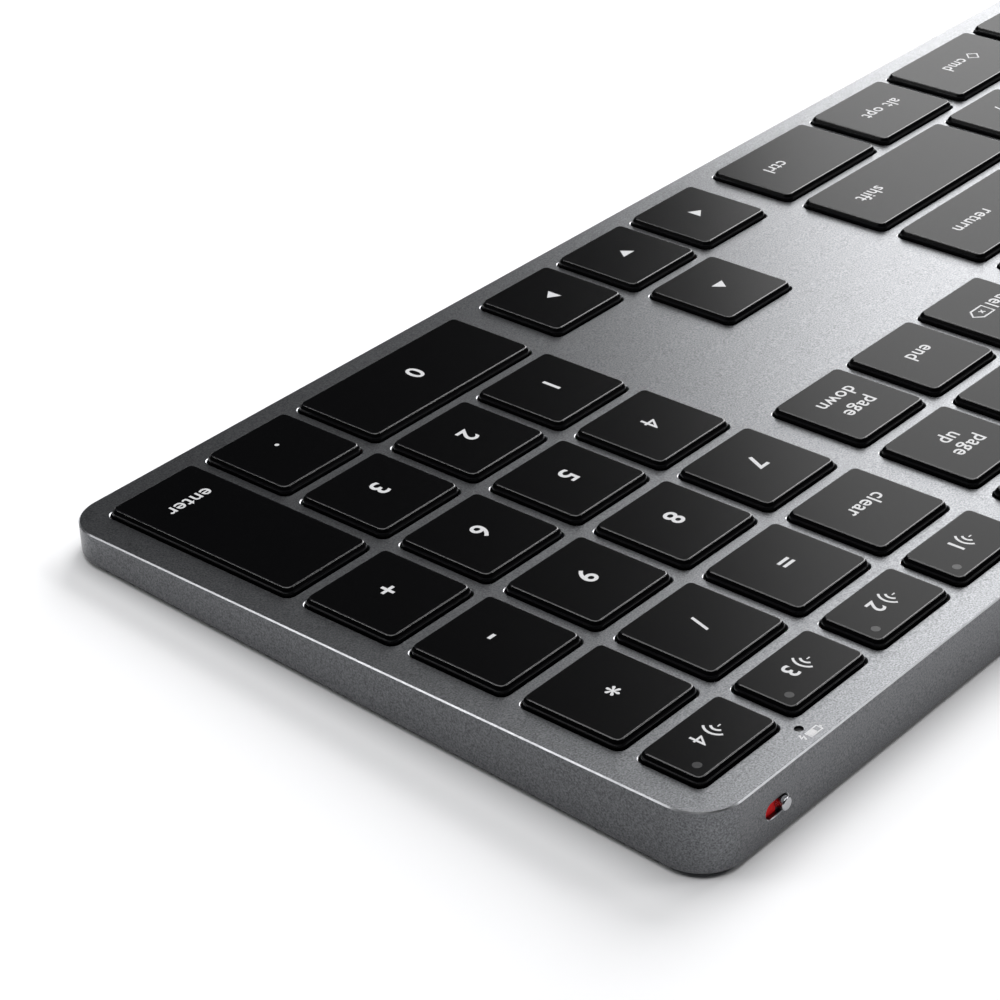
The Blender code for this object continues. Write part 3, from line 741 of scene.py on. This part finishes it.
SLEEVE = (8.9 * MM, 3.2 * MM, 7.3 * MM)
SLEEVE_CORNER = SLEEVE[1] / 2 - 0.05 * MM
SLEEVE_WALL = 0.35 * MM
SLEEVE_LIP = 0.1 * MM
SLEEVE_FLOOR = 1.0 * MM
SLEEVE_SET_BACK = 0.3 * MM
TONGUE = (6.6 * MM, 0.7 * MM, 6.1 * MM)
TONGUE_START = SLEEVE_FLOOR - 0.1 * MM
TONGUE_ROUND = 0.12 * MM
CONTACT = (0.26 * MM, 0.04 * MM, 3.4 * MM)
CONTACT_START = 2.3 * MM
CONTACT_ROUND = 0.03 * MM
CONTACT_PITCH = 0.5 * MM
CONTACT_COUNT = 12  # on each face

gold = new_material("gold_plated_contacts", (0.83, 0.6, 0.24), 0.25, 1.0)
spread(gold, noise_on(gold, 0.3 * MM), 0.18, 0.32, "Roughness")

sleeve = rounded_block(SLEEVE[0], SLEEVE[1], 0.0, SLEEVE[2], SLEEVE_CORNER, 10)
sleeve.data.materials.append(rolled)
pick(sleeve, "FACE", lambda face: face.normal.z > 0.9)
bpy.ops.mesh.inset(thickness=SLEEVE_WALL)
bpy.ops.mesh.extrude_region_move(TRANSFORM_OT_translate={"value": (0, 0, SLEEVE_FLOOR - SLEEVE[2])})
bpy.ops.object.mode_set(mode="OBJECT")
pick(sleeve, "EDGE", lambda a, b: min(a.z, b.z) > SLEEVE[2] - TINY)
bpy.ops.mesh.bevel(offset=SLEEVE_LIP, segments=2, affect="EDGES")
SOCKET_PLACE = Matrix.Translation((0.0, CASE_DEPTH - SLEEVE_SET_BACK - SLEEVE[2], -SOCKET_DROP))
SOCKET_PLACE = DECK @ SOCKET_PLACE @ OUT_BACK
done(sleeve, "socket_sleeve", SOCKET_PLACE)

tongue = rounded_block(TONGUE[0], TONGUE[1], TONGUE_START, TONGUE[2], TONGUE_ROUND, 3)
tongue.data.materials.append(moulded)
pick(tongue, "EDGE", lambda a, b: min(a.z, b.z) > TONGUE[2] - TINY)
bpy.ops.mesh.bevel(offset=TONGUE_ROUND, segments=2, affect="EDGES")
done(tongue, "socket_tongue", SOCKET_PLACE)

contacts = []
contact_face = (CONTACT[0], 2 * CONTACT[1])
contact_end = CONTACT_START + CONTACT[2]
for up in (-TONGUE[1] / 2, TONGUE[1] / 2):
    for number in range(CONTACT_COUNT):
        across = (number - (CONTACT_COUNT - 1) / 2) * CONTACT_PITCH
        strip = rounded_block(*contact_face, CONTACT_START, contact_end, CONTACT_ROUND, 1, across, up)
        contacts.append(strip)
pins = join(contacts)
pins.data.materials.append(gold)
done(pins, "socket_contacts", SOCKET_PLACE)
for piece, slot in ((sleeve, "steel"), (tongue, "dark_plastic"), (pins, "steel")):
    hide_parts("usb_c_socket")
    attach(piece, "case")


# ---- Scissor frames ----
# Under each cap two nylon frames cross like scissors and keep the cap level. The inner one turns in the outer
# one on two short pins, and both clip to the deck below and to the cap above.

SCISSOR_WIDTH = 12.4 * MM
SCISSOR_DEPTHS = {PITCH: 10.0 * MM, FUNCTION_DEPTH: 7.6 * MM}
SCISSOR_BAR = 0.9 * MM
SCISSOR_THICK = 0.55 * MM
SCISSOR_SPACE = 0.2 * MM  # between the inner and the outer frame
SCISSOR_LIFT = 0.9 * MM  # from the low end to the high end of a frame
SCISSOR_LEVEL = -1.75 * MM
PIN_RADIUS = 0.2 * MM

nylon = new_material("dark_nylon", (0.035, 0.035, 0.037), 0.5)
nylon_grain = noise_on(nylon, 0.4 * MM, 3.0)
spread(nylon, nylon_grain, (0.028, 0.028, 0.03), (0.045, 0.045, 0.047), "Base Color")
spread(nylon, nylon_grain, 0.42, 0.56, "Roughness")


def stem(node):
    """What a key's node is called without its ending."""
    return node.replace("_keys", "").replace("_key", "")


def leaning_frame(width, depth, side):
    """A rectangular frame that leans towards one side about its own middle."""
    outside = rounded_block(width, depth, -SCISSOR_THICK / 2, SCISSOR_THICK / 2, SCISSOR_BAR, 3)
    inside = rounded_block(
        width - 2 * SCISSOR_BAR, depth - 2 * SCISSOR_BAR, -SCISSOR_THICK, SCISSOR_THICK, SCISSOR_BAR / 2, 2
    )
    cut(outside, inside)
    outside.data.transform(Matrix.Rotation(side * math.asin(SCISSOR_LIFT / (depth - SCISSOR_BAR)), 4, "X"))
    return outside


def make_scissor(depth):
    outer = leaning_frame(SCISSOR_WIDTH, depth, 1)
    inner_width = SCISSOR_WIDTH - 2 * (SCISSOR_BAR + SCISSOR_SPACE)
    parts = [outer, leaning_frame(inner_width, depth, -1)]
    for side in (-1, 1):
        reach = side * (SCISSOR_WIDTH / 2 - SCISSOR_BAR)
        bpy.ops.mesh.primitive_cylinder_add(
            vertices=10,
            radius=PIN_RADIUS,
            depth=2 * SCISSOR_BAR,
            location=(reach, 0, 0),
            rotation=(0, math.pi / 2, 0),
        )
        parts.append(bpy.context.object)
    scissor = join(parts)
    scissor.data.materials.clear()
    scissor.data.materials.append(nylon)
    return done(scissor, "scissor")


scissors = {depth: make_scissor(reach) for depth, reach in SCISSOR_DEPTHS.items()}
frames_by_node = {}
for legend, node, x, y, width, depth in keys:
    kind = FUNCTION_DEPTH if depth == FUNCTION_DEPTH else PITCH
    middle = DECK @ Matrix.Translation((x, y, SCISSOR_LEVEL))
    frames_by_node.setdefault(node, []).append(copy_of(scissors[kind], middle))
discard(scissors.values())
for node, frames in frames_by_node.items():
    pair = join(frames)
    pair.name = "scissor_frames_" + stem(node)
    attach(pair, "case")


# ---- Key caps ----
# Low caps moulded in black plastic, each with a flat satin top, sides that lean in above the deck and an
# upright skirt that drops through its window. The mould leaves their edges shiny, and they are hollow.

CAP_TOP = 1.15 * MM
CAP_SHOULDER = 0.5 * MM
CAP_SKIRT = -1.4 * MM
CAP_CEILING = 0.15 * MM
CAP_LEAN = 0.45 * MM
CAP_CORNER = 1.3 * MM
CAP_WALL = 0.9 * MM
CAP_CREST = 0.12 * MM  # the small radius round the top face
CAP_FOLD = 0.16 * MM  # and the one where the sides start to lean

satin = new_material("satin_black_cap_plastic", (0.0015, 0.0015, 0.0017), 0.22, specular=0.045)
cap_grain = noise_on(satin, 0.16 * MM)
spread(satin, cap_grain, (0.001, 0.001, 0.0012), (0.0019, 0.0019, 0.0022), "Base Color")
spread(satin, cap_grain, 0.2, 0.24, "Roughness")
bump_from(satin, cap_grain, 0.0025 * MM)

polished = new_material("polished_cap_edge", (0.006, 0.006, 0.007), 0.18, specular=0.7)
polished_flow = noise_on(polished, 0.3 * MM)
spread(polished, polished_flow, (0.004, 0.004, 0.005), (0.008, 0.008, 0.009), "Base Color")
spread(polished, polished_flow, 0.15, 0.22, "Roughness")


def make_cap(width, depth):
    """A cap for a cell of that size, in the middle of the deck's frame."""
    wide, deep = width - SKIRT_GAP, depth - SKIRT_GAP
    cap = rounded_block(wide, deep, CAP_SKIRT, CAP_SHOULDER, CAP_CORNER, 6)
    cap.data.materials.append(satin)
    cap.data.materials.append(polished)
    pick(cap, "FACE", lambda face: face.normal.z < -0.9)
    bpy.ops.mesh.inset(thickness=CAP_WALL)
    bpy.ops.mesh.extrude_region_move(TRANSFORM_OT_translate={"value": (0, 0, CAP_CEILING - CAP_SKIRT)})
    bpy.ops.object.mode_set(mode="OBJECT")
    pick(cap, "FACE", lambda face: face.normal.z > 0.9 and face.center.z > CAP_SHOULDER - TINY)
    bpy.ops.mesh.inset(thickness=CAP_LEAN, depth=CAP_TOP - CAP_SHOULDER)
    bpy.ops.object.mode_set(mode="OBJECT")
    for level, radius in ((CAP_TOP, CAP_CREST), (CAP_SHOULDER, CAP_FOLD)):
        pick(cap, "EDGE", lambda a, b: abs(a.z - level) < TINY and abs(b.z - level) < TINY)
        bpy.ops.mesh.bevel(offset=radius, segments=3, affect="EDGES", material=1)
        bpy.ops.object.mode_set(mode="OBJECT")
    return done(cap, "cap")


patterns = patterns_for(make_cap)
for count, (legend, node, x, y, width, depth) in enumerate(keys):
    cap = copy_of(patterns[round(width, 6), round(depth, 6)], DECK @ Matrix.Translation((x, y, 0)))
    cap.name = f"cap_{stem(node)}_{count:03d}"
    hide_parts(node)
    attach(cap, stem(node) + "_body")
discard(patterns.values())


# ---- Levelling wires ----
# A bent steel wire under each wide or deep cap ties its two ends together, so that it stays level when it is
# pressed near one end. It is clipped to the cap.

WIRE_RADIUS = 0.3 * MM
WIRE_LEVEL = -1.15 * MM
WIRE_EDGE = 0.5 * MM  # from the inside of the skirt to the middle of the wire
WIRE_LEG = 8.0 * MM
WIRE_BEND = 1.0 * MM
LONG_CELL = 1.45 * PITCH  # caps of shorter cells have no wire


def stroke(points, width, closed=False):
    """A round wire or pen line through points in the deck's frame, as a mesh."""
    bpy.ops.curve.primitive_nurbs_path_add(location=(0, 0, 0))
    line = bpy.context.object
    line.data.splines.clear()
    spline = line.data.splines.new("POLY")
    spline.points.add(len(points) - 1)
    for point, place in zip(spline.points, points):
        point.co = (*place, 1)
    spline.use_cyclic_u = closed
    line.data.bevel_depth = width / 2
    line.data.bevel_resolution = 2
    line.data.use_fill_caps = True
    bpy.ops.object.convert(target="MESH")
    return bpy.context.object


def arc(middle, radius, start, end, steps):
    """Points of an arc in the deck's plane, its angles in degrees from +X towards +Y."""
    turns = [math.radians(start + (end - start) * step / steps) for step in range(steps + 1)]
    return [(middle[0] + radius * math.cos(turn), middle[1] + radius * math.sin(turn), 0.0) for turn in turns]


for count, (legend, node, x, y, width, depth) in enumerate(keys):
    long = max(width, depth)
    if long < LONG_CELL:
        continue
    half = (long - SKIRT_GAP) / 2 - CAP_WALL - WIRE_EDGE
    side = (PITCH - SKIRT_GAP) / 2 - CAP_WALL - WIRE_EDGE
    bend = side - WIRE_BEND
    route = [(-half, side - WIRE_LEG, 0.0)]
    route += arc((-half + WIRE_BEND, bend), WIRE_BEND, 180, 90, 4)
    route += arc((half - WIRE_BEND, bend), WIRE_BEND, 90, 0, 4)
    route += [(half, side - WIRE_LEG, 0.0)]
    wire = stroke(route, 2 * WIRE_RADIUS)
    wire.data.materials.append(rolled)
    turn = Matrix.Rotation(-math.pi / 2, 4, "Z") if depth > width else Matrix.Identity(4)
    place = DECK @ Matrix.Translation((x, y, WIRE_LEVEL)) @ turn
    done(wire, f"levelling_wire_{stem(node)}_{count:03d}", place)
    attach(wire, stem(node) + "_body")


# ---- Legends ----
# White signs pad-printed on the caps, in plain lettering. The ink stands a hair above the plastic. Signs that
# letters can't give are drawn: arrows, a generic wireless sign, an eraser, an eject sign and a diamond.

INK_RISE = 0.012 * MM
DIGIT_SIZE = 4.6 * MM
CHANNEL_DIGIT_SIZE = 3.7 * MM
WORD_SIZE = 3.55 * MM
CAPITAL_HEIGHT = 0.7  # of the size
LETTER_SPACING = 1.06
WORD_WEIGHT = 0.01  # how far the outlines are pushed out, of the size
DIGIT_WEIGHT = 0.016  # but none on a 4, whose hole would close
PEN = 0.36 * MM
LINE_FEED = 3.5 * MM
LEGEND_SHIFT = Vector((-0.3, -0.4, 0)) * MM
OUTER_LEGENDS = {"ctrl", "shift", "return", "delete", "tab", "caps lock"}
OUTER_MARGIN = 5.8 * MM  # from the cap's outer end to these
SIGN_GAP = 0.9 * MM
ENTITIES = {"&lt;": "<", "&gt;": ">", "&bar;": "|", "&space;": " "}

ink = new_material("white_printing_ink", (0.56, 0.56, 0.57), 0.55)
spread(ink, noise_on(ink, 0.2 * MM), (0.51, 0.51, 0.52), (0.61, 0.61, 0.62), "Base Color")


def spell(text):
    for entity, letter in ENTITIES.items():
        text = text.replace(entity, letter)
    return text


def lettering(text, size):
    """A line of letters as a closed solid whose left end and base line start at the origin."""
    bpy.ops.object.text_add(location=(0, 0, 0))
    letters = bpy.context.object
    letters.data.body = text
    letters.data.size = size
    if "4" not in text:
        letters.data.offset = size * (DIGIT_WEIGHT if len(text) == 1 else WORD_WEIGHT)
    letters.data.extrude = INK_RISE
    letters.data.resolution_u = 4
    letters.data.space_character = LETTER_SPACING
    bpy.ops.object.convert(target="MESH")
    return bpy.context.object


def flat(piece):
    """Presses a drawn line down to the thickness of the ink."""
    tall = max(vertex.co.z for vertex in piece.data.vertices)
    piece.data.transform(Matrix.Diagonal((1, 1, INK_RISE / tall, 1)))
    return piece


def triangle(towards, wide, tall):
    """A solid triangle whose point looks towards an angle in degrees."""
    bpy.ops.mesh.primitive_cylinder_add(vertices=3, radius=1, depth=2 * INK_RISE)
    sign = bpy.context.object
    # The primitive's first corner is on +Y, its height 1.5 and its base the square root of 3.
    shape = Matrix.Diagonal((wide / math.sqrt(3), tall / 1.5, 1, 1))
    sign.data.transform(Matrix.Rotation(math.radians(towards - 90), 4, "Z") @ shape)
    return sign


def bar(wide, tall, x=0.0, y=0.0):
    return rounded_block(wide, tall, -INK_RISE, INK_RISE, 0.1 * MM, 2, x, y)


def line(*places, closed=False, width=PEN):
    return flat(stroke([(x * MM, y * MM, 0.0) for x, y in places], width, closed))


def draw_sign(name):
    """A drawn sign round the origin."""
    headings = {"right": 0, "up": 90, "left": 180, "down": 270}
    if name in headings:
        return triangle(headings[name], 2.7 * MM, 1.9 * MM)
    if name == "waves":
        bends = [flat(stroke(arc((-1.0 * MM, 0), reach * MM, -52, 52, 8), PEN)) for reach in (1.05, 2.0)]
        return join([line((-1.0, -0.1), (-1.0, 0.1), width=0.6 * MM), *bends])
    if name == "erase":
        outline = line((-2.0, 1.25), (0.9, 1.25), (2.1, 0), (0.9, -1.25), (-2.0, -1.25), closed=True)
        cross = [line((-0.75, 0.4 * way), (0.05, -0.4 * way), width=0.25 * MM) for way in (-1, 1)]
        return join([outline, *cross])
    if name == "eject":
        sign = triangle(90, 2.8 * MM, 1.5 * MM)
        sign.data.transform(Matrix.Translation((0, 0.35 * MM, 0)))
        return join([sign, bar(2.8 * MM, 0.45 * MM, 0.0, -0.9 * MM)])
    return line((0, 1.3), (1.3, 0), (0, -1.3), (-1.3, 0), closed=True)


def extent(piece, axis):
    values = [vertex.co[axis] for vertex in piece.data.vertices]
    return min(values), max(values)


def set_side_by_side(pieces):
    """Lines pieces up along x with a gap between them, and returns them as one, its middle at x = 0."""
    right = 0.0
    for piece in pieces:
        low, high = extent(piece, 0)
        piece.data.transform(Matrix.Translation((right - low, 0, 0)))
        right += high - low + SIGN_GAP
    group = join(pieces)
    low, high = extent(group, 0)
    group.data.transform(Matrix.Translation((-(low + high) / 2, 0, 0)))
    return group


def print_line(text, size, level):
    """One line of a legend, which may hold a <sign>, its middle at x = 0 and that level."""
    parts = []
    before, _, rest = text.partition("<")
    sign, _, after = rest.partition(">")
    for word in (before, sign and "<" + sign, after):
        if not word:
            continue
        if word.startswith("<") and len(word) > 1:
            parts.append(draw_sign(word[1:]))
            continue
        letters = lettering(spell(word), size)
        if len(spell(word)) == 1:
            rise = -CAPITAL_HEIGHT * size / 2
        else:
            rise = -sum(extent(letters, 1)) / 2
        letters.data.transform(Matrix.Translation((0, rise, 0)))
        parts.append(letters)
    group = set_side_by_side(parts)
    group.data.transform(Matrix.Translation((0, level, 0)))
    return group


def legend_piece(legend, node, x, y, width):
    lines = legend.split("|")
    size = WORD_SIZE
    if len(spell(legend)) == 1:
        size = DIGIT_SIZE
    elif node.startswith("channel"):
        size = CHANNEL_DIGIT_SIZE
    middle = (len(lines) - 1) / 2
    printed = []
    for number, text in enumerate(lines):
        if text:
            printed.append(print_line(text, size, (middle - number) * LINE_FEED))
    group = join(printed)
    place = Vector((x, y, CAP_TOP)) + LEGEND_SHIFT
    if spell(legend) in OUTER_LEGENDS:
        outer = 1 if x > grid_left + TYPING_UNITS * PITCH / 2 else -1
        half = extent(group, 0)[1]
        place.x = x + outer * ((width - SKIRT_GAP) / 2 - OUTER_MARGIN - half)
    if node == "numpad_enter_key":
        place.y -= PITCH / 2
    group.data.transform(Matrix.Translation(place))
    return group


print_jobs = {}
for legend, node, x, y, width, depth in keys:
    if legend != "_":
        print_jobs.setdefault(node, []).append(legend_piece(legend, node, x, y, width))
for node, pieces in print_jobs.items():
    letters = join(pieces)
    letters.data.materials.clear()
    letters.data.materials.append(ink)
    done(letters, stem(node) + "_legend", DECK)
    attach(letters, stem(node) + "_body")


# ---- Channel lights ----
# A small lens of smoked clear plastic in the back corner of each of the four channel keys, set flush with the
# top. It glows when that channel is in use.

LENS_RADIUS = 0.65 * MM
LENS_DEPTH = 0.3 * MM
LENS_RISE = 0.01 * MM
LENS_PLACE = Vector((5.78, 2.55, 0)) * MM  # from the key's middle

smoked = new_material("smoked_lens", (0.02, 0.02, 0.021), 0.3, specular=0.15)
smoke = noise_on(smoked, 0.3 * MM)
spread(smoked, smoke, (0.016, 0.016, 0.017), (0.026, 0.026, 0.027), "Base Color")


def lens(radius, low, high, x, y, crown):
    """An upright rod with a slightly rounded end."""
    middle = (x, y, (low + high) / 2)
    bpy.ops.mesh.primitive_cylinder_add(vertices=28, radius=radius, depth=high - low, location=middle)
    rod = bpy.context.object
    bpy.ops.object.transform_apply(location=True)
    rod.data.materials.append(smoked)
    pick(rod, "EDGE", lambda a, b: min(a.z, b.z) > high - TINY)
    bpy.ops.mesh.bevel(offset=crown, segments=2, affect="EDGES")
    bpy.ops.object.mode_set(mode="OBJECT")
    return rod


for legend, node, x, y, width, depth in keys:
    if node.startswith("channel"):
        spot = Vector((x, y, 0)) + LENS_PLACE
        glow = lens(LENS_RADIUS, CAP_TOP - LENS_DEPTH, CAP_TOP + LENS_RISE, spot.x, spot.y, LENS_RISE)
        done(glow, stem(node) + "_lens", DECK)
        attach(glow, stem(node) + "_body")


# ---- Charging light ----
# A rod of smoked clear plastic carries the light of a lamp on the board up to a small hole in the deck. A
# battery and a bolt are printed in white beside it.

ROD_RADIUS = 0.6 * MM
ROD_TOP = -0.3 * MM
ROD_CROWN = 0.04 * MM
FINE_PEN = 0.24 * MM
BOLT_PEN = 0.32 * MM
BATTERY_SIGN = Vector((-0.75, 1.75, 0)) * MM  # from the light to the sign's middle
BOLT_SIGN = Vector((1.25, 1.5, 0)) * MM

rod_low = (DECK.inverted() @ Vector(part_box("charge_light")[0])).z
rod = lens(ROD_RADIUS, rod_low, ROD_TOP, *LIGHT_SPOT, ROD_CROWN)
done(rod, "charge_light_rod", DECK)
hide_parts("charge_light")
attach(rod, "case")

cell = line((-1.15, 0.5), (1.15, 0.5), (1.15, -0.5), (-1.15, -0.5), closed=True, width=FINE_PEN)
charge = bar(1.3 * MM, 0.8 * MM, 0.4 * MM)
pole = line((-1.4, 0.2), (-1.4, -0.2), width=FINE_PEN)
battery_sign = join([cell, charge, pole])
battery_sign.data.transform(Matrix.Translation(BATTERY_SIGN))
bolt_sign = line((0.1, 0.6), (-0.3, -0.05), (0.3, 0.05), (-0.1, -0.6), width=BOLT_PEN)
bolt_sign.data.transform(Matrix.Translation(BOLT_SIGN))
charge_sign = join([battery_sign, bolt_sign])
charge_sign.data.materials.clear()
charge_sign.data.materials.append(ink)
done(charge_sign, "charge_sign", DECK @ Matrix.Translation((*LIGHT_SPOT, 0)))
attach(charge_sign, "case")


# ---- Power switch ----
# A slider behind a round-ended slot in the back wall: a black plate with a polished steel knob, and a red
# painted patch that shows in the slot while the power is off.

KNOB_RADIUS = 0.95 * MM
KNOB_PROUD = 0.7 * MM
KNOB_ROUND = 0.25 * MM
KNOB_ROOT = 0.2 * MM  # how far it is sunk in the plate
PLATE = (8.8 * MM, 3.0 * MM, 0.8 * MM)  # width, height, thickness
PLATE_CORNER = 0.5 * MM
PLATE_ROUND = 0.1 * MM
PLATE_FACE = -THIN_WALL - 0.1 * MM
SWITCH_TRAVEL = 2.4 * MM
RED_PATCH = (3.4 * MM, 2.7 * MM, 0.04 * MM)
RED_CORNER = 0.2 * MM
RED_ROOT = 0.02 * MM
RED_FROM_KNOB = 2.5 * MM  # to the patch's middle

red = new_material("red_warning_paint", (0.8, 0.0, 0.003), 0.6, specular=0.2)
red_coat = noise_on(red, 0.3 * MM)
spread(red, red_coat, (0.72, 0.0, 0.002), (0.88, 0.002, 0.004), "Base Color")
knob_steel = new_material("polished_knob_steel", (0.45, 0.455, 0.47), 0.25, 1.0)
spread(knob_steel, noise_on(knob_steel, 0.15 * MM, 3.0), 0.16, 0.3, "Roughness")

SLIDER_PLACE = Matrix.Translation((SWITCH_X - SWITCH_TRAVEL / 2, CASE_DEPTH, -SWITCH_DROP))
SLIDER_PLACE = DECK @ SLIDER_PLACE @ OUT_BACK

plate = rounded_block(PLATE[0], PLATE[1], PLATE_FACE - PLATE[2], PLATE_FACE, PLATE_CORNER, 4)
plate.data.materials.append(moulded)
pick(plate, "EDGE", lambda a, b: min(a.z, b.z) > PLATE_FACE - TINY)
bpy.ops.mesh.bevel(offset=PLATE_ROUND, segments=2, affect="EDGES")
done(plate, "switch_plate", SLIDER_PLACE)

knob_length = KNOB_PROUD - PLATE_FACE + KNOB_ROOT
bpy.ops.mesh.primitive_cylinder_add(
    vertices=36, radius=KNOB_RADIUS, depth=knob_length, location=(0, 0, KNOB_PROUD - knob_length / 2)
)
knob = bpy.context.object
bpy.ops.object.transform_apply(location=True)
knob.data.materials.append(knob_steel)
pick(knob, "EDGE", lambda a, b: min(a.z, b.z) > KNOB_PROUD - TINY)
bpy.ops.mesh.bevel(offset=KNOB_ROUND, segments=4, affect="EDGES")
done(knob, "switch_knob", SLIDER_PLACE)

red_top = PLATE_FACE + RED_PATCH[2]
patch = rounded_block(
    RED_PATCH[0], RED_PATCH[1], PLATE_FACE - RED_ROOT, red_top, RED_CORNER, 3, RED_FROM_KNOB
)
patch.data.materials.append(red)
done(patch, "switch_red_patch", SLIDER_PLACE)
for piece, slot in ((plate, "dark_plastic"), (knob, "steel"), (patch, "dark_plastic")):
    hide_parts("power_switch_slider")
    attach(piece, "power_switch")
